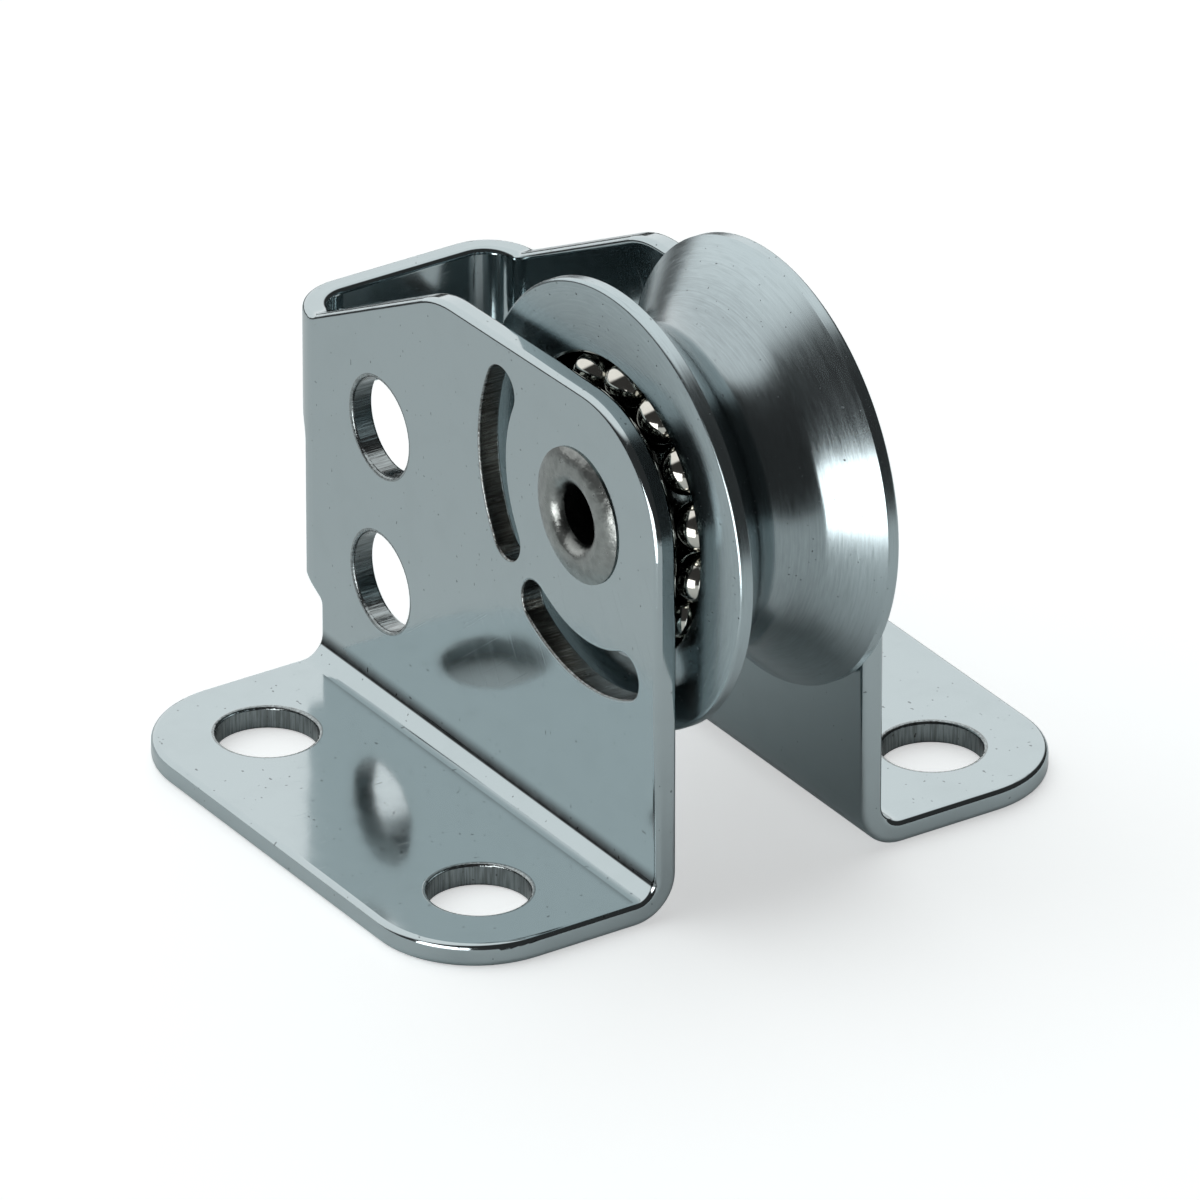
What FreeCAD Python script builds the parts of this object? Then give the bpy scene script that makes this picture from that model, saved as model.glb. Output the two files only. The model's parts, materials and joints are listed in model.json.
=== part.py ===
"""Single upright deck block: a bent stainless sheet frame, a hollow rivet and a grooved sheave
that runs on two rows of balls in a cup-and-cone bearing.

Frame of the part: origin midway between the four deck holes, on the underside of the feet.
+X points to the open side, where the sheave stands out of the frame, +Y runs along the axle
from the near cheek to the far one, and +Z is up from the deck. Millimetres throughout.
"""
import FreeCAD, Part
import math
import os

Vector = FreeCAD.Vector

# Sheet frame
SHEET = 1.2                   # gauge of the sheet
CHEEK_GAP = 10.6              # clear width between the cheeks
FOOT_BEND_R = 1.1             # inner radius of the bend from cheek to foot
BRIDGE_BEND_R = 1.7           # inner radius of the two bends round the back
OUTLINE_ROUND = 0.32          # tumbled radius along the sheet's outline
EDGE_ROUND = 0.15             # radius along the edges of every hole and slot

# Deck holes and feet
DECK_HOLE_R = 2.5
DECK_PITCH_X = 18.8
DECK_PITCH_Y = 26.0
FOOT_CORNER_R = 5.45          # outer corners, concentric with the deck holes
FOOT_EDGE_Y = 5.65            # from a deck hole's centre to the foot's long edge

# Cheek outline
NOSE_Z = 19.15                # centre of the front top corner above the deck
CHEEK_NOSE_R = 6.3            # front top corner
CREST_SLOPE = 1.7             # degrees that the top edge rises towards the nose
SHOULDER_X = -4.45            # where the top edge turns down to the back
SHOULDER_SLOPE = 27.5         # degrees of the sloping edge behind the shoulder
SHOULDER_R = 6.0
BACK_TOP_R = 1.2              # blend from the sloping edge into the bridge's top
BRIDGE_TOP_Z = 19.3
BRIDGE_BOTTOM_Z = 13.7
BRIDGE_FILLET_R = 1.6         # bridge's lower edge into the back edge of a cheek
BRIDGE_BACK_X = -18.3         # outer face of the bridge
BACK_EDGE_X = -16.4           # back edge of a cheek, under the bridge
NOTCH_TOP_Z = 4.85            # relief above the foot's bend
NOTCH_BOTTOM_Z = 4.0

# Cross holes through both cheeks
CROSS_HOLE_R = 2.5
CROSS_HOLE_X = -9.35
CROSS_HOLE_LOW_Z = 7.5
CROSS_HOLE_PITCH = 8.4

# Arc slots round the centre of the front top corner, two in each cheek
SLOT_PATH_R = 8.0
SLOT_WIDTH = 2.3
SLOT_SPAN = 58.0              # degrees between the centres of a slot's round ends
SLOT_MIDDLE = (183.5, 267.0)  # degrees from +X towards +Z

# Axle
AXLE_X = 8.1
AXLE_Z = 18.8                 # above the deck

# Hollow rivet
RIVET_R = 2.45
RIVET_BORE_R = 1.5
RIVET_FIT = 0.05              # radial clearance in the cheeks and the cones
RIVET_HEAD_R = 3.4
RIVET_HEAD_H = 0.42
RIVET_HEAD_EDGE = 0.08        # height of the head's widest circle above the cheek
RIVET_HEAD_TUCK = 0.05        # how far the head's edge rolls back in below that circle
RIVET_CREST_R = 2.25          # highest circle of the head
RIVET_MOUTH = 0.6             # how deep the head rolls from that circle into the bore

# Sheave
SHEAVE_R = 11.1
SHEAVE_WIDTH = 9.0
RIM_LAND = 0.45               # flat land on top of each flange
RIM_ROUND = 0.2               # rounded corner from the land to the side face
GROOVE_FLANK = 49.5           # degrees of a groove flank from the axle
GROOVE_FLOOR_R = 2.6          # radius across the groove's floor
SIDE_PLAY = 0.13              # the sheave rests this far from the middle, on its near balls

# Ball bearing
BALL_R = 1.25
BALL_COUNT = 14               # in each of the two rows
BALL_PITCH_R = 6.2
BALL_ROW_Y = 3.65             # each row's plane, from the middle between the cheeks
BALL_FIRST_ANGLE = 63.5       # degrees from +X towards +Z
BALL_CLEARANCE = 0.05         # between a ball and the races
CUP_BORE_R = 5.75             # sheave's bore between the two cups
CUP_LIP_CHAMFER = 0.12
CONE_HUB_R = 4.9
CONE_FLANGE_R = 6.1

# Worked out from the sizes above
CHEEK_IN = CHEEK_GAP / 2
CHEEK_OUT = CHEEK_IN + SHEET
FOOT_FRONT_X = DECK_PITCH_X / 2 + FOOT_CORNER_R
FOOT_OUT_Y = DECK_PITCH_Y / 2 + FOOT_EDGE_Y
FOOT_BEND_OUT_R = FOOT_BEND_R + SHEET
FOOT_BEND_Y = CHEEK_IN + FOOT_BEND_OUT_R
BRIDGE_BEND_OUT_R = BRIDGE_BEND_R + SHEET
BRIDGE_BEND_X = BRIDGE_BACK_X + BRIDGE_BEND_OUT_R
NOSE_X = FOOT_FRONT_X - CHEEK_NOSE_R
CREST_RISE = math.tan(math.radians(CREST_SLOPE))
SHOULDER_RISE = math.tan(math.radians(SHOULDER_SLOPE))
CREST_Z = NOSE_Z + CHEEK_NOSE_R / math.cos(math.radians(CREST_SLOPE))
RACE_GROOVE_R = BALL_R + BALL_CLEARANCE
SHEAVE_SIDE_Y = SHEAVE_WIDTH / 2
TOOL_MARGIN = 2.0             # how far a cutting tool stands clear of what it cuts

AXLE = Vector(AXLE_X, 0, AXLE_Z)
NOSE = Vector(NOSE_X, 0, NOSE_Z)
ALONG_AXLE = Vector(0, 1, 0)
UP = Vector(0, 0, 1)


def in_side_view(a, b):
    """Point of the XZ plane."""
    return Vector(a, 0, b)


def in_plan(a, b):
    """Point of the XY plane."""
    return Vector(a, b, 0)


def in_end_view(a, b):
    """Point of the YZ plane."""
    return Vector(0, a, b)


def rounded_wire(corners, view):
    """Closed wire through corners (a, b, radius), each rounded by its radius; 0 leaves it sharp."""
    flat = [Vector(a, b, 0) for a, b, radius in corners]
    joins = []
    for i, corner in enumerate(flat):
        radius = corners[i][2]
        if radius == 0:
            joins.append((corner, None, corner))
            continue
        back = (flat[i - 1] - corner).normalize()
        ahead = (flat[(i + 1) % len(flat)] - corner).normalize()
        half = back.getAngle(ahead) / 2
        reach = radius / math.tan(half)
        inset = radius / math.sin(half) - radius
        middle = corner + (back + ahead).normalize() * inset
        joins.append((corner + back * reach, middle, corner + ahead * reach))
    edges = []
    for i, (start, middle, end) in enumerate(joins):
        if middle is not None:
            edges.append(Part.Arc(*[view(p.x, p.y) for p in (start, middle, end)]).toShape())
        following = joins[(i + 1) % len(joins)][0]
        if (following - end).Length > 1e-6:
            edges.append(Part.LineSegment(view(end.x, end.y), view(following.x, following.y)).toShape())
    return Part.Wire(edges)


def prism(wire, travel, shift=Vector(0, 0, 0)):
    """Solid swept by a closed flat wire along travel, after moving it by shift."""
    face = Part.Face(wire)
    face.translate(shift)
    return face.extrude(travel)


def turned(edges):
    """Solid of revolution about the axle, from a closed loop of edges given as (y, r) curves."""
    face = Part.Face(Part.Wire(edges))
    return face.revolve(AXLE, ALONG_AXLE, 360)


def at_radius(y, r):
    """Point of a turned profile: y along the axle, r above its centre line."""
    return Vector(AXLE_X, y, AXLE_Z + r)


def line(start, end):
    return Part.LineSegment(at_radius(*start), at_radius(*end)).toShape()


def arc(start, middle, end):
    return Part.Arc(at_radius(*start), at_radius(*middle), at_radius(*end)).toShape()


def chain(points):
    """Straight profile edges from point to point; a step of no length has no edge."""
    return [line(a, b) for a, b in zip(points, points[1:]) if math.dist(a, b) > 1e-6]


def across_axle(shape):
    """Mirror image of a shape on the other side of the sheave."""
    return shape.mirror(Vector(0, 0, 0), ALONG_AXLE)


def cheek_outline():
    """Side view of the frame above the feet, with the bridge strip at the back."""
    nose_z = CREST_Z + CREST_RISE * (FOOT_FRONT_X - NOSE_X)
    shoulder_z = CREST_Z + CREST_RISE * (SHOULDER_X - NOSE_X)
    back_top_x = SHOULDER_X - (shoulder_z - BRIDGE_TOP_Z) / SHOULDER_RISE
    beyond = BRIDGE_BACK_X - TOOL_MARGIN
    return rounded_wire([
        (FOOT_FRONT_X, 0, 0),
        (FOOT_FRONT_X, nose_z, CHEEK_NOSE_R),
        (SHOULDER_X, shoulder_z, SHOULDER_R),
        (back_top_x, BRIDGE_TOP_Z, BACK_TOP_R),
        (beyond, BRIDGE_TOP_Z, 0),
        (beyond, BRIDGE_BOTTOM_Z, 0),
        (BACK_EDGE_X, BRIDGE_BOTTOM_Z, BRIDGE_FILLET_R),
        (BACK_EDGE_X, NOTCH_TOP_Z, 0),
        (-FOOT_FRONT_X, NOTCH_BOTTOM_Z, 0),
        (-FOOT_FRONT_X, 0, 0),
    ], in_side_view)


def channel():
    """Both cheeks and the bridge between them, as one bent strip seen in plan."""
    outside = rounded_wire([
        (FOOT_FRONT_X, -CHEEK_OUT, 0),
        (FOOT_FRONT_X, CHEEK_OUT, 0),
        (BRIDGE_BACK_X, CHEEK_OUT, BRIDGE_BEND_OUT_R),
        (BRIDGE_BACK_X, -CHEEK_OUT, BRIDGE_BEND_OUT_R),
    ], in_plan)
    inside = rounded_wire([
        (FOOT_FRONT_X + TOOL_MARGIN, -CHEEK_IN, 0),
        (FOOT_FRONT_X + TOOL_MARGIN, CHEEK_IN, 0),
        (BRIDGE_BACK_X + SHEET, CHEEK_IN, BRIDGE_BEND_R),
        (BRIDGE_BACK_X + SHEET, -CHEEK_IN, BRIDGE_BEND_R),
    ], in_plan)
    height = UP * (CREST_Z + TOOL_MARGIN - FOOT_BEND_OUT_R)
    base = Vector(0, 0, FOOT_BEND_OUT_R)
    walls = prism(outside, height, base).cut(prism(inside, height, base))
    width = ALONG_AXLE * (2 * CHEEK_OUT + 2 * TOOL_MARGIN)
    return walls.common(prism(cheek_outline(), width, width * -0.5))


def near_foot():
    """Foot of the near cheek with its bend, and its two outer corners rounded."""
    section = rounded_wire([
        (-CHEEK_IN, FOOT_BEND_OUT_R, 0),
        (-CHEEK_IN, 0, FOOT_BEND_OUT_R),
        (-FOOT_OUT_Y, 0, 0),
        (-FOOT_OUT_Y, SHEET, 0),
        (-CHEEK_OUT, SHEET, FOOT_BEND_R),
        (-CHEEK_OUT, FOOT_BEND_OUT_R, 0),
    ], in_end_view)
    length = Vector(2 * FOOT_FRONT_X, 0, 0)
    plan = rounded_wire([
        (-FOOT_FRONT_X, 0, 0),
        (FOOT_FRONT_X, 0, 0),
        (FOOT_FRONT_X, -FOOT_OUT_Y, FOOT_CORNER_R),
        (-FOOT_FRONT_X, -FOOT_OUT_Y, FOOT_CORNER_R),
    ], in_plan)
    return prism(section, length, length * -0.5).common(prism(plan, UP * FOOT_BEND_OUT_R))


def hole_tools():
    """Everything that is punched out of the sheet."""
    deck_depth = SHEET + 2 * TOOL_MARGIN
    width = 2 * CHEEK_OUT + 2 * TOOL_MARGIN
    tools = []
    for side_x in (-1, 1):
        for side_y in (-1, 1):
            foot = Vector(side_x * DECK_PITCH_X / 2, side_y * DECK_PITCH_Y / 2, -TOOL_MARGIN)
            tools.append(Part.makeCylinder(DECK_HOLE_R, deck_depth, foot, UP))
    for step in (0, 1):
        start = Vector(CROSS_HOLE_X, -width / 2, CROSS_HOLE_LOW_Z + step * CROSS_HOLE_PITCH)
        tools.append(Part.makeCylinder(CROSS_HOLE_R, width, start, ALONG_AXLE))
    axle_start = AXLE - ALONG_AXLE * (width / 2)
    tools.append(Part.makeCylinder(RIVET_R + RIVET_FIT, width, axle_start, ALONG_AXLE))
    for middle in SLOT_MIDDLE:
        tools.append(prism(slot_outline(middle), ALONG_AXLE * width, ALONG_AXLE * (-width / 2)))
    return tools


def slot_outline(middle):
    """Arc slot of constant width round the nose's centre, with round ends."""
    def around(radius, degrees):
        turn = math.radians(degrees)
        return NOSE + Vector(radius * math.cos(turn), 0, radius * math.sin(turn))

    first, last = middle - SLOT_SPAN / 2, middle + SLOT_SPAN / 2
    outer, inner = SLOT_PATH_R + SLOT_WIDTH / 2, SLOT_PATH_R - SLOT_WIDTH / 2
    cap = math.degrees(SLOT_WIDTH / 2 / SLOT_PATH_R)
    return Part.Wire([
        Part.Arc(around(outer, first), around(outer, middle), around(outer, last)).toShape(),
        Part.Arc(around(outer, last), around(SLOT_PATH_R, last + cap), around(inner, last)).toShape(),
        Part.Arc(around(inner, last), around(inner, middle), around(inner, first)).toShape(),
        Part.Arc(around(inner, first), around(SLOT_PATH_R, first - cap), around(outer, first)).toShape(),
    ])


def sharp_edges(solid):
    """Edges where two faces meet at an angle, which tumbling rounds off."""
    sharp = []
    for edge in solid.Edges:
        faces = solid.ancestorsOfType(edge, Part.Face)
        if len(faces) != 2:
            continue
        middle = edge.valueAt((edge.FirstParameter + edge.LastParameter) / 2)
        normals = [face.normalAt(*face.Surface.parameter(middle)) for face in faces]
        if normals[0].getAngle(normals[1]) > math.radians(30):
            sharp.append(edge)
    return sharp


def frame():
    """Cheeks, bridge and feet, bent from one sheet and punched."""
    foot = near_foot()
    blank = channel().fuse([foot, across_axle(foot)]).removeSplitter().Solids[0]
    tumbled = blank.makeFillet(OUTLINE_ROUND, sharp_edges(blank))
    punched = tumbled.cut(hole_tools()).Solids[0]
    return punched.makeFillet(EDGE_ROUND, sharp_edges(punched))


def axle_rivet():
    """Hollow rivet, rolled over on the outside of both cheeks."""
    head_top = CHEEK_OUT + RIVET_HEAD_H

    def roll_middle(drop, run):
        """Drop and run to the middle of an arc that leaves the crest level and ends drop below it."""
        radius = (drop ** 2 + run ** 2) / (2 * drop)
        half = math.atan2(run, radius - drop) / 2
        return radius * (1 - math.cos(half)), radius * math.sin(half)

    dome_drop, dome_run = roll_middle(RIVET_HEAD_H - RIVET_HEAD_EDGE, RIVET_HEAD_R - RIVET_CREST_R)
    mouth_drop, mouth_run = roll_middle(RIVET_MOUTH, RIVET_CREST_R - RIVET_BORE_R)

    def head(side):
        """Edges from the barrel out under the head, over its dome and into the bore."""
        def at(y, r):
            return (side * y, r)
        seat = at(CHEEK_OUT, RIVET_HEAD_R - RIVET_HEAD_TUCK)
        widest, crest = at(CHEEK_OUT + RIVET_HEAD_EDGE, RIVET_HEAD_R), at(head_top, RIVET_CREST_R)
        dome = at(head_top - dome_drop, RIVET_CREST_R + dome_run)
        mouth = at(head_top - mouth_drop, RIVET_CREST_R - mouth_run)
        return [
            *chain([at(CHEEK_OUT, RIVET_R), seat, widest]),
            arc(widest, dome, crest),
            arc(crest, mouth, at(head_top - RIVET_MOUTH, RIVET_BORE_R)),
        ]

    mouth_y = head_top - RIVET_MOUTH
    barrel = line((-CHEEK_OUT, RIVET_R), (CHEEK_OUT, RIVET_R))
    bore = line((mouth_y, RIVET_BORE_R), (-mouth_y, RIVET_BORE_R))
    return turned([barrel, *head(1), bore, *reversed(head(-1))])


def near_cone():
    """Inner race of the near row: a hub with a flange against the cheek and a ball track between."""
    slant = RACE_GROOVE_R * math.sqrt(0.5)
    flange_in = BALL_ROW_Y + math.sqrt(RACE_GROOVE_R ** 2 - (CONE_FLANGE_R - BALL_PITCH_R) ** 2)
    bore = RIVET_R + RIVET_FIT
    track_r = BALL_PITCH_R - RACE_GROOVE_R
    hub_end = RACE_GROOVE_R - BALL_ROW_Y
    track = ((-BALL_ROW_Y, track_r),
             (-BALL_ROW_Y - slant, BALL_PITCH_R - slant),
             (-flange_in, CONE_FLANGE_R))
    return turned([
        *chain([(0, bore), (0, CONE_HUB_R), (hub_end, CONE_HUB_R), (hub_end, track_r), track[0]]),
        arc(*track),
        *chain([track[2], (-CHEEK_IN, CONE_FLANGE_R), (-CHEEK_IN, bore), (0, bore)]),
    ]).removeSplitter()


def sheave():
    """Grooved wheel with a ball cup open to each side, as it rests on its near balls."""
    cup_y = BALL_ROW_Y - SIDE_PLAY
    flank = math.radians(GROOVE_FLANK)
    land_in = SHEAVE_SIDE_Y - RIM_ROUND - RIM_LAND
    apex_r = SHEAVE_R - land_in * math.tan(flank)
    floor_centre_r = apex_r + GROOVE_FLOOR_R / math.cos(flank)
    tangent = (GROOVE_FLOOR_R * math.sin(flank), floor_centre_r - GROOVE_FLOOR_R * math.cos(flank))
    corner_in = RIM_ROUND * (1 - math.sqrt(0.5))
    lip_r = BALL_PITCH_R + RACE_GROOVE_R
    slant = RACE_GROOVE_R * math.sqrt(0.5)
    shoulder_y = cup_y - RACE_GROOVE_R

    def half(side):
        """Edges from the groove's floor round one flange and cup to the middle of the bore."""
        def at(y, r):
            return (side * y, r)
        rim_in, rim_top = at(land_in, SHEAVE_R), at(SHEAVE_SIDE_Y - RIM_ROUND, SHEAVE_R)
        rim_round = at(SHEAVE_SIDE_Y - corner_in, SHEAVE_R - corner_in)
        rim_side = at(SHEAVE_SIDE_Y, SHEAVE_R - RIM_ROUND)
        lip_out = at(SHEAVE_SIDE_Y, lip_r + CUP_LIP_CHAMFER)
        lip_in = at(SHEAVE_SIDE_Y - CUP_LIP_CHAMFER, lip_r)
        cup_top, cup_end = at(cup_y, lip_r), at(shoulder_y, BALL_PITCH_R)
        cup_middle = at(cup_y - slant, BALL_PITCH_R + slant)
        return [
            *chain([at(*tangent), rim_in, rim_top]),
            arc(rim_top, rim_round, rim_side),
            *chain([rim_side, lip_out, lip_in, cup_top]),
            arc(cup_top, cup_middle, cup_end),
            *chain([cup_end, at(shoulder_y, CUP_BORE_R)]),
        ]

    left, right = (-tangent[0], tangent[1]), tangent
    floor = arc(left, (0, floor_centre_r - GROOVE_FLOOR_R), right)
    bore = line((-shoulder_y, CUP_BORE_R), (shoulder_y, CUP_BORE_R))
    wheel = turned([floor, *half(1), bore, *half(-1)])
    wheel.translate(ALONG_AXLE * -SIDE_PLAY)
    return wheel


def ball(row_y, index):
    """One ball of a row."""
    turn = math.radians(BALL_FIRST_ANGLE - index * 360 / BALL_COUNT)
    centre = AXLE + Vector(BALL_PITCH_R * math.cos(turn), row_y, BALL_PITCH_R * math.sin(turn))
    return Part.makeSphere(BALL_R, centre)


def parts():
    """Every piece by name."""
    pieces = {
        "frame": frame(),
        "axle_rivet": axle_rivet(),
        "near_cone": near_cone(),
        "far_cone": across_axle(near_cone()),
        "sheave": sheave(),
    }
    for row, row_y in (("near", -BALL_ROW_Y), ("far", BALL_ROW_Y)):
        for index in range(BALL_COUNT):
            pieces[f"{row}_ball_{index + 1:02d}"] = ball(row_y, index)
    return pieces


os.makedirs("parts", exist_ok=True)
for name, shape in parts().items():
    shape = Part.Solid(shape) if shape.ShapeType == "Shell" else shape
    if not shape.isValid() or len(shape.Solids) != 1:
        raise ValueError(f"{name} is not one valid solid")
    shape.exportStep(f"parts/{name}.step")
    box = shape.BoundBox
    print(f"{name}: {shape.Volume:.3f} mm3, x {box.XMin:.2f} {box.XMax:.2f}, "
          f"y {box.YMin:.2f} {box.YMax:.2f}, z {box.ZMin:.2f} {box.ZMax:.2f}")
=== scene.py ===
# %% [markdown]
# # A single pulley block in polished steel
# The block is an upright deck block: one bent steel sheet, a hollow rivet, and a grooved sheave on
# two rows of balls. The shapes come packed from CAD in metres, with X to the open side, Y along the
# axle and Z up from the deck. This lesson gives them the finish of the real metal and a small photo
# studio. We could model the shapes again here, but the packed frame already has them to a hundredth
# of a millimetre, so we load it and note how large it is.

# %% Load the packed frame
import json
import math
import bpy
from mathutils import Matrix, Vector


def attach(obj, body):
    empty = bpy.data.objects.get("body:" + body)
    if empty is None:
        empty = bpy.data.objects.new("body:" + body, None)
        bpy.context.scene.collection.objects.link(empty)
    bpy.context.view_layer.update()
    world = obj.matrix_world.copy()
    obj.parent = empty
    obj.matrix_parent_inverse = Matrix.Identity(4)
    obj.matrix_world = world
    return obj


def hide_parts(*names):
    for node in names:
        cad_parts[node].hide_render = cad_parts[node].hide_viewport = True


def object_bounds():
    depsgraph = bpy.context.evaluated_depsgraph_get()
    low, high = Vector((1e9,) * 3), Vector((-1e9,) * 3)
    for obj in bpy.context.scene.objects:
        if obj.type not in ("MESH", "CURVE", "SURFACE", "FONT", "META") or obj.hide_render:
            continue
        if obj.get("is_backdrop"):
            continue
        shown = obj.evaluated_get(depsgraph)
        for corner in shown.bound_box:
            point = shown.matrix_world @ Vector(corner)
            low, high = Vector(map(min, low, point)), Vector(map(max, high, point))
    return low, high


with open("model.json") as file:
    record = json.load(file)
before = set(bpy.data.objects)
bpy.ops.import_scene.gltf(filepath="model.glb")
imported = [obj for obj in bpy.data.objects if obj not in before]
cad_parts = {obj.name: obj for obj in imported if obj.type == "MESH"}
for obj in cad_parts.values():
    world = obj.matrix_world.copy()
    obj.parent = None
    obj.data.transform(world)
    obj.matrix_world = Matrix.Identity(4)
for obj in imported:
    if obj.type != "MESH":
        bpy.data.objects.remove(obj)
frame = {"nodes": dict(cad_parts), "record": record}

cad_box = [list(corner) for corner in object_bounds()]
nodes = frame["nodes"]
MM = 0.001
MM_PER_M = (1 / MM, 1 / MM, 1 / MM)
print("nodes:", len(nodes), "size in mm:", [round((b - a) / MM, 2) for a, b in zip(*cad_box)])

# %% [markdown]
# ## The camera
# The picture was taken from the front and a little above, with a long lens: edges that are parallel
# on the block stay parallel in the picture. We could set the camera by eye, but a fit of the
# block's corners to the picture gives its place to a fraction of a degree, so those numbers are
# used.

# %% Camera
CAMERA_AZIMUTH, CAMERA_HEIGHT = math.radians(56.746), math.radians(28.008)
CAMERA_DISTANCE = 874.16 * MM
CAMERA_AIM = Vector((0.0546, 0, 8.801)) * MM
CAMERA_LENS, SENSOR_WIDTH = 546.2, 36      # mm inside the camera
CLIP_NEAR, CLIP_FAR = 0.01, 20             # m

camera_data = bpy.data.cameras.new("camera")
camera_data.lens, camera_data.sensor_width = CAMERA_LENS, SENSOR_WIDTH
camera_data.clip_start, camera_data.clip_end = CLIP_NEAR, CLIP_FAR
camera = bpy.data.objects.new("camera", camera_data)
bpy.context.scene.collection.objects.link(camera)
towards_camera = Vector((math.sin(CAMERA_AZIMUTH) * math.cos(CAMERA_HEIGHT),
                         -math.cos(CAMERA_AZIMUTH) * math.cos(CAMERA_HEIGHT),
                         math.sin(CAMERA_HEIGHT)))
camera.location = CAMERA_AIM + towards_camera * CAMERA_DISTANCE
camera.rotation_euler = towards_camera.to_track_quat("Z", "Y").to_euler()
bpy.context.scene.camera = camera
bpy.context.scene.view_settings.view_transform = "Standard"
print("camera at", [round(v, 3) for v in camera.location])

# %% [markdown]
# ## Shader maths as plain expressions
# A shader is a net of nodes. Adding each node and each link by hand takes many lines and hides the
# idea. Here one small class wraps a node's output, so that `1 - worn * 0.3` adds the Math nodes by
# itself. Colours and vectors must not pass through a Math node, which would turn them grey, so they
# have their own `blend` and `vector`, and every other kind of node comes from `node`.

# %% A wire between shader nodes
class Wire:
    """One output in a node tree, that can be used in expressions."""

    def __init__(self, tree, socket=None):
        self.tree, self.socket = tree, socket

    def node(self, kind, settings=None, sockets=None, out=0):
        """Adds a node: first its settings, then a value or a wire for each named or numbered socket."""
        made = self.tree.nodes.new(kind)
        for name, value in (settings or {}).items():
            setattr(made, name, value)
        for name, value in (sockets or {}).items():
            if isinstance(value, Wire):
                self.tree.links.new(value.socket, made.inputs[name])
            else:
                made.inputs[name].default_value = value
        return Wire(self.tree, made.outputs[out] if len(made.outputs) else None)

    def maths(self, operation, *values):
        """A Math node on single numbers."""
        return self.node("ShaderNodeMath", {"operation": operation}, dict(enumerate(values)))

    def __add__(self, other):
        return self.maths("ADD", self, other)

    def __sub__(self, other):
        return self.maths("SUBTRACT", self, other)

    def __rsub__(self, other):
        return self.maths("SUBTRACT", other, self)

    def __mul__(self, other):
        return self.maths("MULTIPLY", self, other)

    __radd__, __rmul__ = __add__, __mul__

    def vector(self, operation, *values):
        """Maths on three numbers at once."""
        sockets = dict(enumerate((self, *values)))
        return self.node("ShaderNodeVectorMath", {"operation": operation}, sockets)

    def length(self):
        """How long a vector is."""
        return self.node("ShaderNodeVectorMath", {"operation": "LENGTH"}, {0: self}, out="Value")

    def between(self, low, high):
        """0 below low, 1 above high, and a smooth rise from one to the other."""
        settings = {"interpolation_type": "SMOOTHSTEP"}
        return self.node("ShaderNodeMapRange", settings, {"Value": self, 1: low, 2: high})

    def blend(self, first, second):
        """A colour: first where this wire is 0, second where it is 1. Either may be a wire too."""
        ends = [end if isinstance(end, Wire) else (*end, 1) for end in (first, second)]
        settings = {"data_type": "RGBA", "clamp_factor": True}
        return self.node("ShaderNodeMix", settings, {0: self, 6: ends[0], 7: ends[1]}, out=2)

    def parts(self):
        """The three numbers of a vector."""
        return [self.node("ShaderNodeSeparateXYZ", None, {0: self}, out=i) for i in range(3)]

    def joined(self, x, y, z):
        """A vector from three numbers."""
        return self.node("ShaderNodeCombineXYZ", None, {0: x, 1: y, 2: z})

    def noise(self, scale, detail):
        """Soft random values round 0.5, that repeat each run."""
        return self.node("ShaderNodeTexNoise", None, {"Vector": self, "Scale": scale, "Detail": detail})


print("a Wire has", sum(callable(thing) for thing in vars(Wire).values()), "operations")

# %% [markdown]
# ## The studio
# Polished steel has hardly any colour of its own: it shows what stands round it. In the picture the
# light comes from one large soft sheet high up on the far side, and the side of the camera is dark.
# That gives bright feet, mid-grey cheeks and near-black streaks in the groove. We could build the
# soft sheet as a lamp, but a world whose brightness rises smoothly towards that side does the same
# without noise.

# %% World with a soft bright side
SOFT_LIGHT, DARK_SIDE = 1.5, 0.055
SHEET_HEIGHT = 0.914          # how much height counts beside distance to the far side
SHEET_EDGE = (0.62, 0.87)     # the brightness rises from the first value to the second

world = bpy.data.worlds.new("studio")
bpy.context.scene.world = world
world.use_nodes = True
world.node_tree.nodes.clear()
sky = Wire(world.node_tree)
towards_x, _, towards_z = sky.node("ShaderNodeTexCoord").parts()
soft_sheet = (towards_z * SHEET_HEIGHT - towards_x).between(*SHEET_EDGE)
brightness = soft_sheet * (SOFT_LIGHT - DARK_SIDE) + DARK_SIDE
studio_light = sky.node("ShaderNodeBackground", None, {"Strength": brightness})
white_backdrop = sky.node("ShaderNodeBackground", None, {"Color": (1, 1, 1, 1), "Strength": 1})
camera_sees = sky.node("ShaderNodeLightPath", out="Is Camera Ray")
seen = sky.node("ShaderNodeMixShader", None, {0: camera_sees, 1: studio_light, 2: white_backdrop})
sky.node("ShaderNodeOutputWorld", None, {"Surface": seen})
print("world:", len(world.node_tree.nodes), "nodes")

# %% [markdown]
# ## The floor
# The block stands on a plain pale floor. Lit by the soft sheet alone the floor is light grey, where the
# picture has white. More lamps would bleach the steel as well, so the floor adds a glow of its own. The
# camera gets all of it. The metal gets a part: in the picture the cheeks mirror a floor about half as
# bright as the white round the block, and near darkness under the block, so that part fades there,
# which is a painted shadow under the block that only the metal sees. Far from the block the metal sees
# the floor painted dark, which gives the rounded rims their thin dark lines. The shadow under the block
# stays, because it is missing light and not a missing glow.

# %% Pale floor
FLOOR_COLOUR = (0.81, 0.86, 0.865)
CAMERA_GLOW, METAL_GLOW, UNDER_GLOW = 0.53, 0.13, 0.04
UNDER_BLOCK = (14.5, 18.3)    # half sizes in mm of the patch of floor that the feet hide
UNDER_EDGE = 1.5              # mm that this patch fades over, to each side
LIT_TABLE = (95, 150)         # mm from the middle, where the floor that the metal mirrors turns painted dark
FLOOR_HALF = 4                # m
FLOOR_DROP = 0.02             # mm, so that the feet and the floor never share a plane

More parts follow.
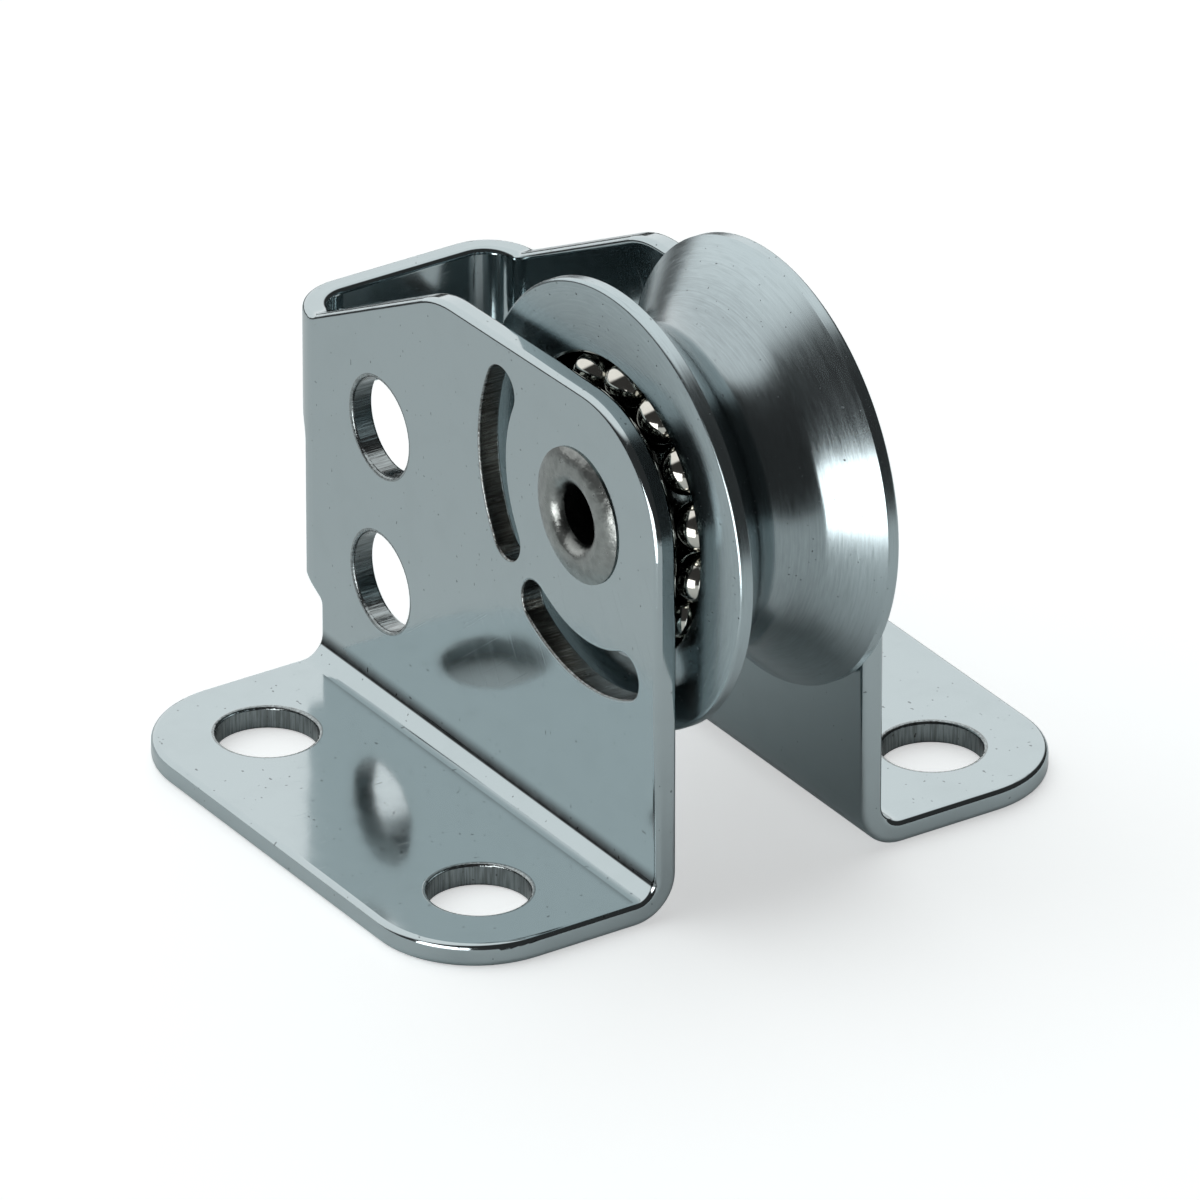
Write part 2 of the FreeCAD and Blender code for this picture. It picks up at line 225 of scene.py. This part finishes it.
floor_mesh = bpy.data.meshes.new("floor")
floor_corners = [(x * FLOOR_HALF, y * FLOOR_HALF, 0) for x, y in ((-1, -1), (1, -1), (1, 1), (-1, 1))]
floor_mesh.from_pydata(floor_corners, [], [(0, 1, 2, 3)])
floor = bpy.data.objects.new("floor", floor_mesh)
bpy.context.scene.collection.objects.link(floor)
floor.location.z = -FLOOR_DROP * MM

pale = bpy.data.materials.new("pale_floor")
pale.use_nodes = True
pale.node_tree.nodes.clear()
ground = Wire(pale.node_tree)
matt = ground.node("ShaderNodeBsdfDiffuse", None, {"Color": (*FLOOR_COLOUR, 1)})
from_middle = ground.node("ShaderNodeTexCoord", out="Object").vector("MULTIPLY", MM_PER_M)
sides = from_middle.vector("ABSOLUTE").parts()
clear_x, clear_y = [side.between(half - UNDER_EDGE, half + UNDER_EDGE)
                    for side, half in zip(sides, UNDER_BLOCK)]
clear_of_block = clear_x.maths("MAXIMUM", clear_x, clear_y)
camera_ray, glossy_ray, glass_ray = [ground.node("ShaderNodeLightPath", out=name) for name in
                                     ("Is Camera Ray", "Is Glossy Ray", "Is Transmission Ray")]
# Over the block's footprint the glow that the metal sees drops: a painted shadow under the block.
seen_in_metal = clear_of_block * (METAL_GLOW - UNDER_GLOW) + UNDER_GLOW
strength = camera_ray * CAMERA_GLOW + (glossy_ray + glass_ray) * seen_in_metal
glow = ground.node("ShaderNodeEmission", None, {"Strength": strength})
both = ground.node("ShaderNodeAddShader", None, {0: matt, 1: glow})
# Far off, the floor that the metal sees is painted dark.
far_off = from_middle.length().between(*LIT_TABLE)
painted_dark_floor = ground.node("ShaderNodeEmission", None, {"Strength": DARK_SIDE})
table = ground.node("ShaderNodeMixShader", None, {0: glossy_ray * far_off, 1: both, 2: painted_dark_floor})
ground.node("ShaderNodeOutputMaterial", None, {"Surface": table})
floor_mesh.materials.append(pale)
floor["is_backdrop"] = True
print("floor at z =", floor.location.z)

# %% [markdown]
# ## The low lamp
# A white streak runs down the groove, the rims and the rounded edges. Mirrored back, it comes from
# something bright that stands on the table just left of the camera, from 28 degrees below the axle
# to 8 above it. A small area lamp stands in for it. Only polished metal sees it. It is hidden from
# the camera, so that it never shows as a white card from another side, and from matt surfaces, so
# that it leaves no bright patch on the floor.

# %% Low lamp
LAMP_WIDTH, LAMP_HEIGHT, LAMP_BRIGHTNESS = 34 * MM, 26 * MM, 4.2
LAMP_DISTANCE = 50 * MM
TOWARDS_LAMP = Vector((0.38, -0.92, 0))

lamp_data = bpy.data.lights.new("low_lamp", "AREA")
lamp_data.shape = "RECTANGLE"
lamp_data.size, lamp_data.size_y = LAMP_WIDTH, LAMP_HEIGHT
lamp_data.energy = LAMP_BRIGHTNESS * math.pi * LAMP_WIDTH * LAMP_HEIGHT
lamp = bpy.data.objects.new("low_lamp", lamp_data)
bpy.context.scene.collection.objects.link(lamp)
axle = Vector((8.1, 0, 18.8)) * MM
lamp.location = axle + TOWARDS_LAMP * LAMP_DISTANCE
lamp.location.z = LAMP_HEIGHT / 2
lamp.rotation_euler = TOWARDS_LAMP.to_track_quat("Z", "Y").to_euler()
lamp.visible_camera = lamp.visible_diffuse = False
print("low lamp", round((lamp.location - axle).length / MM), "mm from the axle")

# %% [markdown]
# ## Steel
# Every piece is stainless steel, and the finishes differ: the sheet is electropolished, the sheave
# is fresh off the lathe, the balls are lapped, and the rivet is satin from the press. All of them
# share one recipe, a metal with a tint, a roughness that wanders a little, and a fine relief in the
# normal. So one function makes the recipe and each finish hands it its own patterns.

# %% The steel recipe
def steel(name, colour, roughness, relief, depth, **uniform):
    """A metal. colour, roughness and relief are functions of a Wire with the place in mm."""
    material = bpy.data.materials.new(name)
    material.use_nodes = True
    material.node_tree.nodes.clear()
    surface = Wire(material.node_tree)
    place = surface.node("ShaderNodeTexCoord", out="Object").vector("MULTIPLY", MM_PER_M)
    bump = surface.node("ShaderNodeBump", None, {
        "Strength": 1.0, "Distance": depth * MM, "Height": relief(place)})
    metal = surface.node("ShaderNodeBsdfPrincipled", None, {
        "Base Color": colour(place), "Roughness": roughness(place), "Normal": bump,
        "Metallic": 1.0, **uniform})
    surface.node("ShaderNodeOutputMaterial", None, {"Surface": metal})
    print(name, "has", len(material.node_tree.nodes), "nodes")
    return material


def mottle(place, scale, stretch=(1, 1, 1), detail=3.0):
    """Soft uneven patches, about 1 / scale mm across."""
    return place.vector("MULTIPLY", stretch).noise(scale, detail)


def specks(place, scale, small, large):
    """1 in small dark pits that lie far apart. A larger range makes larger pits."""
    return 1 - mottle(place, scale, detail=0.0).between(small, large)


ACROSS_Y, ACROSS_Z = (1, 0, 1), (1, 1, 0)

def from_line(place, across, through=(0, 0, 0)):
    """How many mm a place lies from a line along Y or Z."""
    return place.vector("SUBTRACT", through).vector("MULTIPLY", across).length()


# %% [markdown]
# ## The sheet's finish
# Electropolishing leaves the sheet almost a mirror, with the faint waviness of the rolled strip below
# it and a few hairline scratches. The walls of the punched holes are different: the punch shears and
# tears them, which leaves fine dark lines straight through the sheet, and the walls are also darkened
# with painted shade, for the shade inside the holes and slots. We could pick those walls face by face,
# but a mask by distance from each hole's centre line needs no list of faces. A dark line of painted
# shade also runs along the fold above each foot.

# %% Where the sheet is torn, and where shade is painted on it
HOLE_REACH = 2.68             # mm from a round hole's centre line to the end of its rounded edge
HOLE_SHARE = 0.6              # how rough, and how dark with painted shade, the holes' walls are beside those of the slots
DECK_HOLES = (9.4, 13.0)      # mm, mirrored to both sides
CROSS_HOLES_X, CROSS_HOLES_Z, CROSS_HOLES_PITCH = -9.35, 7.5, 8.4
SLOT_CENTRE = (8.55, 19.15)
SLOT_RING = (6.68, 9.32)      # mm from the slots' centre to the ends of their rounded edges
SLOT_CORNER = (5.2, 5.7)      # mm; the slots stay below and behind this point from their centre
FOOT_TOP = 1.3                # mm
FOLD_SHADE_Z = (1.76, 1.84, 2.7)  # mm above the deck where the painted shade in the fold starts, is darkest and ends
CHEEK_OUT = 6.5               # mm from the middle to a cheek's outer face
MASK_EDGE = 0.05              # mm that a mask fades over
FACE_TURN = (0.80, 0.95)      # share of Y in a surface's normal, from off a cheek's face to on it

def within(value, low, high, edge=0.03):
    """1 where a value lies between low and high."""
    return value.between(low - edge, low) * (1 - value.between(high, high + edge))


def punched_walls(place):
    """1 on the slots' walls and less on the holes', and a wire that is 1 in the upright sheet."""
    upright = place.parts()[2].between(FOOT_TOP, FOOT_TOP + 2 * MASK_EDGE)
    deck = from_line(place.vector("ABSOLUTE"), ACROSS_Z, (*DECK_HOLES, 0))
    low = from_line(place, ACROSS_Y, (CROSS_HOLES_X, 0, CROSS_HOLES_Z))
    high = from_line(place, ACROSS_Y, (CROSS_HOLES_X, 0, CROSS_HOLES_Z + CROSS_HOLES_PITCH))
    from_slots = place.vector("SUBTRACT", (SLOT_CENTRE[0], 0, SLOT_CENTRE[1]))
    slots = within(from_line(from_slots, ACROSS_Y), *SLOT_RING) * facing_along_sheet(place)
    for side, corner in zip(from_slots.parts()[::2], SLOT_CORNER):
        slots = slots * (1 - side.between(corner - MASK_EDGE, corner))
    cross = within(low, 0, HOLE_REACH) + within(high, 0, HOLE_REACH)
    deck_walls = within(deck, 0, HOLE_REACH) * (1 - upright) * HOLE_SHARE
    return (cross * HOLE_SHARE + slots) * upright + deck_walls, upright


def facing_along_sheet(place):
    """1 where the surface doesn't face along Y, as the two faces of a cheek do."""
    face_y = place.node("ShaderNodeTexCoord", out="Normal").vector("ABSOLUTE").parts()[1]
    return 1 - face_y.between(*FACE_TURN)


def painted_fold_shade(place):
    """1 along the line of painted shade in the fold, fading up each cheek."""
    height, side = place.parts()[2], place.vector("ABSOLUTE").parts()[1]
    start, darkest, gone = FOLD_SHADE_Z
    band = height.between(start, darkest) * (1 - height.between(darkest, gone))
    outer_side = side.between(CHEEK_OUT - 0.1, CHEEK_OUT - 0.02)
    return band * outer_side * (mottle(place, 1.5) * 0.2 + 0.88)


print("a hole's mask reaches", HOLE_REACH, "mm, and the slots' lies between", SLOT_RING, "mm")

# %% [markdown]
# Next come the patterns themselves. The lines of a sheared wall run straight through the sheet, so
# they are noise that is stretched in that direction. The scratches are noise too, stretched far more
# and cut off so high that only a few thin strokes are left. We could paint both, but noise follows
# every wall without a seam. The masks then decide where each pattern darkens, dulls or dents the
# steel.

# %% Polished sheet
# The dark tint and the darkening of the punched walls are painted shade, for the shade inside the holes
# and slots; the torn lines across them are the walls' own texture.
SHEET_TINT, WALL_TINT_AND_SHADE = (0.435, 0.500, 0.515), (0.17, 0.16, 0.145)
WALL_PAINTED_SHADE, TORN_LIGHT, WALL_MIX = 0.85, 0.75, 0.5
# How dark the specks get, and how dark the painted shade in the fold gets.
SPECK_DARK, FOLD_SHADE_DARK = 0.5, 0.95
SHEET_ROUGHNESS, WALL_ROUGHNESS, SCRATCH_ROUGHNESS = 0.085, 0.14, 0.08
WAVE_HEIGHT, PEEL_HEIGHT, SCRATCH_HEIGHT, TORN_HEIGHT = 0.8, 0.03, 0.03, 1.5
SHEET_RELIEF = 0.02           # mm for a height of 1
SHEET_SPECKS = (4.5, 0.155, 0.185)
SCRATCHES = ((14.0, 0.25, 0.5), (11.0, 0.2, -0.9))      # across, along and slant of each set
SCRATCH_CUT = (0.72, 0.76)
THROUGH_SHEET = 0.06          # how slowly the shear lines change straight through the sheet

def shear_lines(place, upright):
    """Fine lines straight through the sheet, along Y in the cheeks and along Z in the feet."""
    x, y, z = place.parts()
    drop = 1 - THROUGH_SHEET
    y_share, z_share = 1 - upright * drop, upright * drop + THROUGH_SHEET
    return place.joined(x, y * y_share, z * z_share).noise(9.0, 3.0)


def hairlines(place, across, along, slant):
    """A few fine scratches in one direction."""
    turned = place.node("ShaderNodeVectorRotate", {"rotation_type": "Y_AXIS"},
                        {"Vector": place, "Angle": slant})
    return mottle(turned, 1.0, (across, 1.0, along), detail=1.0).between(*SCRATCH_CUT)


def sheet_colour(place):
    walls, upright = punched_walls(place)
    torn = shear_lines(place, upright).between(0.35, 0.65)
    # Painted shade: the punched walls and the fold above each foot come out darker.
    dark = walls * (WALL_PAINTED_SHADE - torn * TORN_LIGHT) + painted_fold_shade(place) * FOLD_SHADE_DARK
    light = 1 - (dark + specks(place, *SHEET_SPECKS) * SPECK_DARK)
    bare = (light * (mottle(place, 0.5) * 0.12 + 0.94)).blend((0, 0, 0), SHEET_TINT)
    return (walls * WALL_MIX).blend(bare, WALL_TINT_AND_SHADE)


def sheet_roughness(place):
    walls, _ = punched_walls(place)
    polished = mottle(place, 1.3, detail=4.0) * 0.05 + SHEET_ROUGHNESS
    scratched = hairlines(place, *SCRATCHES[0]) * SCRATCH_ROUGHNESS
    return polished + walls * WALL_ROUGHNESS + scratched


def sheet_relief(place):
    walls, upright = punched_walls(place)
    waves = mottle(place, 0.35, detail=1.0) * WAVE_HEIGHT
    peel = mottle(place, 2.2, detail=2.0) * PEEL_HEIGHT
    scratches = (hairlines(place, *SCRATCHES[0]) + hairlines(place, *SCRATCHES[1])) * SCRATCH_HEIGHT
    return waves + peel - scratches + shear_lines(place, upright) * walls * TORN_HEIGHT


sheet_finish = steel("polished_sheet", sheet_colour, sheet_roughness, sheet_relief, SHEET_RELIEF)

# %% [markdown]
# ## The turned finish
# A lathe tool leaves fine rings round the sheave. Each ring tilts the surface a little along the
# profile and never round it, so highlights smear across the rings into a fan. Rings in the relief
# show as fine lines, and the smear comes from the shader's anisotropy, whose direction runs round
# the object's own Z axis. That is why the sheave below is built about its own Z and then laid along
# the axle. A rope has rubbed the groove, so a few fine pits and smudges break the rings.

# %% Turned sheave finish
SHEAVE_TINT = (0.43, 0.505, 0.525)
RIM_R, GROOVE_R = 11.1, 8.0   # mm
FINE_RINGS = (18.0, 3.0)      # scale and detail
SHEAVE_SPECKS = (7.0, 0.15, 0.18)
ALONG_RINGS, ACROSS_RINGS = 0.5, 5         # how fine the worn strokes are in each direction
STROKES = (1.6, 4.0)          # scale and detail
RING_LIGHT, WEAR_LIGHT, LEAST_LIGHT, PIT_DARK = 0.35, 0.4, 0.63, 0.6
RING_HEIGHT, WEAR_HEIGHT, PIT_DEPTH = 0.6, 0.35, 0.5
RING_ROUGHNESS, WEAR_ROUGHNESS, PIT_ROUGHNESS = 0.06, 0.08, 0.2
SIDE_TURN, SIDE_PAINTED_SHADE = (0.9, 0.98), 0.12   # painted shade: the two flat sides are a little darker
GROOVE_PAINTED_SHADE = 0.25            # painted shade as well: darker from the rim inwards, most on the floor of the groove
SHEAVE_ROUGHNESS = 0.10
SHEAVE_RELIEF = 0.003         # mm for a height of 1
RING_SMEAR = 0.85             # the shader's anisotropy

def rings(place, scale, detail=2.0):
    """Fine lines round the sheave, from the distance to its centre line and along it."""
    return place.joined(from_line(place, ACROSS_Z), place.parts()[2], 0.0).noise(scale, detail)


def wear(place):
    """Broken strokes along the rings, where the rope and the tool have rubbed."""
    x, y, z = place.parts()
    around = y.maths("ARCTAN2", y, x) * RIM_R
    out = from_line(place, ACROSS_Z)
    return place.joined(around * ALONG_RINGS, out * ACROSS_RINGS, z * ACROSS_RINGS).noise(*STROKES)


def sheave_colour(place):
    # The flat sides and the floor of the groove get painted shade; the rings, strokes and pits are the
    # turned finish itself.
    faces = place.node("ShaderNodeTexCoord", out="Normal").vector("ABSOLUTE").parts()[2]
    side = 1 - faces.between(*SIDE_TURN) * SIDE_PAINTED_SHADE
    groove_shade = from_line(place, ACROSS_Z).between(GROOVE_R, RIM_R) * GROOVE_PAINTED_SHADE + (1 - GROOVE_PAINTED_SHADE)
    lines = rings(place, *FINE_RINGS) * RING_LIGHT + wear(place) * WEAR_LIGHT + LEAST_LIGHT
    clean = 1 - specks(place, *SHEAVE_SPECKS) * PIT_DARK
    return (side * groove_shade * lines * clean).blend((0, 0, 0), SHEAVE_TINT)


def sheave_roughness(place):
    turned = rings(place, 5.0) * RING_ROUGHNESS + SHEAVE_ROUGHNESS
    return turned + wear(place) * WEAR_ROUGHNESS + specks(place, *SHEAVE_SPECKS) * PIT_ROUGHNESS


def sheave_relief(place):
    turned = rings(place, *FINE_RINGS) * RING_HEIGHT
    return turned + wear(place) * WEAR_HEIGHT - specks(place, *SHEAVE_SPECKS) * PIT_DEPTH


sheave_finish = steel("turned_sheave", sheave_colour, sheave_roughness, sheave_relief,
                      SHEAVE_RELIEF, Anisotropic=RING_SMEAR)

# %% [markdown]
# ## Rivet, races and balls
# The rivet was pressed over in a forming die, so its skin is satin, warmer and slightly lumpy. The
# two inner races are ground. The balls are lapped to a mirror and have a warm tone beside the
# sheet. Each could have a net of its own, but they differ only in tint, roughness and grain, so
# three short calls of the recipe will do.

# %% Rivet, race and ball finishes
RIVET_TINT, RACE_TINT = (0.27, 0.285, 0.275), (0.30, 0.31, 0.30)
BALL_TINT = (0.60, 0.59, 0.54)
BORE_MOUTH = (1.45, 1.8)      # mm from the axle
BORE_PAINTED_SHADE = 0.3              # share of the tint that is left down there, as painted shade
RIVET_RELIEF, RACE_RELIEF, BALL_RELIEF = 0.06, 0.004, 0.001     # mm for a height of 1

def tinted(tint, scale, spread):
    """A colour function that wanders by a share of the tint."""
    def colour(place):
        return mottle(place, scale).between(0.3, 0.7).blend([c * (1 - spread) for c in tint],
                                                            [c * (1 + spread) for c in tint])
    return colour


def rivet_colour(place):
    """The rivet's tint, with painted shade down in the bore."""
    in_the_open = from_line(place, ACROSS_Y, axle / MM).between(*BORE_MOUTH)
    bare = tinted(RIVET_TINT, 2.0, 0.12)(place)
    return in_the_open.blend([c * BORE_PAINTED_SHADE for c in RIVET_TINT], bare)


def wandering(scale, spread, least):
    """A roughness function that rises from its least value by up to the spread."""
    return lambda place: mottle(place, scale) * spread + least


rivet_finish = steel("pressed_rivet", rivet_colour, wandering(3.0, 0.10, 0.24),
                     lambda place: mottle(place, 1.5) + mottle(place, 9.0) * 0.12, RIVET_RELIEF)
race_finish = steel("ground_race", tinted(RACE_TINT, 3.0, 0.05), wandering(4.0, 0.06, 0.16),
                    lambda place: mottle(place, 6.0), RACE_RELIEF)
ball_finish = steel("lapped_ball", tinted(BALL_TINT, 2.0, 0.03), wandering(4.0, 0.03, 0.09),
                    lambda place: mottle(place, 3.0), BALL_RELIEF)

finishes = {"sheet_steel": sheet_finish, "rivet_steel": rivet_finish, "race_steel": race_finish,
            "ball_steel": ball_finish}
dressed = [part for part in frame["record"]["subparts"] if part["material_slot"] in finishes]
for part in dressed:
    nodes[part["node"]].material_slots[0].material = finishes[part["material_slot"]]
print("finished nodes:", len(dressed))

# %% [markdown]
# ## The sheave
# The sheave is a turned wheel: a V groove with a rounded floor, a flat land on each rim, and a cup
# for the balls in each side. The CAD mesh of it is made of flat facets, which polished metal shows
# as breaks in its reflections. We could smooth that mesh, but a lathe in code is cleaner: a profile
# of corners and radii, spun in 192 steps, with the exact normal worked out at every point.

# %% A lathe with exact normals
def rounded_profile(corners, steps_per_radian=7):
    """Points (z, r) and outward normals along a closed loop of corners (z, r, radius)."""
    flat = [Vector(corner[:2]) for corner in corners]
    points, normals = [], []
    for i, corner in enumerate(flat):
        back = (flat[i - 1] - corner).normalized()
        ahead = (flat[(i + 1) % len(flat)] - corner).normalized()
        turn = math.pi - back.angle(ahead)
        inwards = (back + ahead).normalized()
        centre = corner + inwards * corners[i][2] / math.cos(turn / 2)
        bends_left = back.x * ahead.y - back.y * ahead.x < 0
        steps = max(2, round(turn * steps_per_radian))
        for step in range(steps + 1):
            swing = (step / steps - 0.5) * turn * (1 if bends_left else -1)
            spoke = Matrix.Rotation(swing, 2) @ -inwards
            points.append(centre + spoke * corners[i][2])
            normals.append(-spoke if bends_left else spoke)
    return points, normals


def spun(name, corners, centre, body, finish, segments=192):
    """A turned piece: the loop spun about its own Z, then laid along the axle."""
    points, normals = rounded_profile(corners)
    turns = [math.tau * k / segments for k in range(segments)]

    def all_round(vectors, size):
        return [(v.y * math.cos(a) * size, v.y * math.sin(a) * size, v.x * size)
                for a in turns for v in vectors]

    count = len(points)
    rows = [k * count for k in range(segments)]
    faces = [(row + i, next_row + i, next_row + (i + 1) % count, row + (i + 1) % count)
             for row, next_row in zip(rows, rows[1:] + rows[:1]) for i in range(count)]
    mesh = bpy.data.meshes.new(name)
    mesh.from_pydata(all_round(points, MM), [], faces)
    mesh.shade_smooth()
    mesh.normals_split_custom_set_from_vertices(all_round(normals, 1))
    mesh.materials.append(finish)
    piece = bpy.data.objects.new(name, mesh)
    bpy.context.scene.collection.objects.link(piece)
    piece.matrix_world = Matrix.Translation(centre) @ Matrix.Rotation(-math.pi / 2, 4, "X")
    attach(piece, body)
    print(name, len(mesh.vertices), "points")
    return piece


# %% [markdown]
# The real wheel is turned from bar: first the rim and the groove, then a cup for the balls from each
# side. Its profile is the same on both sides of the groove, so only one half is listed, corner by
# corner from the groove to the bore, and the other half is its mirror image. Every corner has a
# radius, because no real edge is perfectly sharp and a thin bright line runs along each of them.

# %% Sheave
SHEAVE_HALF, LAND, RIM_ROUND = 4.5, 0.45, 0.2          # mm, all of them but the angle
GROOVE_FLANK, GROOVE_FLOOR_R = math.radians(49.5), 2.6
CUP_Y, CUP_LIP_R, CUP_BORE_R, RACE_GROOVE_R = 3.52, 7.5, 5.75, 1.3
LIP_CHAMFER, LIP_ROUND = 0.12, 0.03
LAND_ROUND, BORE_ROUND = 0.06, 0.05
SIDE_PLAY = 0.13              # the wheel rests this far towards the near cheek
SKIN = 0.005                  # the wheel stays this far inside the CAD one

land_in = SHEAVE_HALF - RIM_ROUND - LAND
rim_r = RIM_R - SKIN
half = [(land_in, rim_r, LAND_ROUND),
        (SHEAVE_HALF, rim_r, RIM_ROUND),
        (SHEAVE_HALF, CUP_LIP_R + LIP_CHAMFER, LIP_ROUND),
        (SHEAVE_HALF - LIP_CHAMFER, CUP_LIP_R, LIP_ROUND),
        (CUP_Y - RACE_GROOVE_R, CUP_LIP_R, RACE_GROOVE_R),
        (CUP_Y - RACE_GROOVE_R, CUP_BORE_R, BORE_ROUND)]
other_half = [(-z, r, radius) for z, r, radius in reversed(half)]
floor_corner = (0, rim_r - land_in * math.tan(GROOVE_FLANK), GROOVE_FLOOR_R)
wheel_centre = axle - Vector((0, SIDE_PLAY * MM, 0))
sheave = spun("turned_wheel", [floor_corner, *half, *other_half], wheel_centre,
              "sheave", sheave_finish)
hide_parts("sheave")

# %% [markdown] ## Check and finish The dressed block must fill the same box as the CAD block, so the difference between both boxes is printed.

# %% Sizes and finish
visual_box = [list(corner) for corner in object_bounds()]
grown = [[round((v - c) / MM, 3) for v, c in zip(a, b)] for a, b in zip(visual_box, cad_box)]
print("grown by mm:", grown)
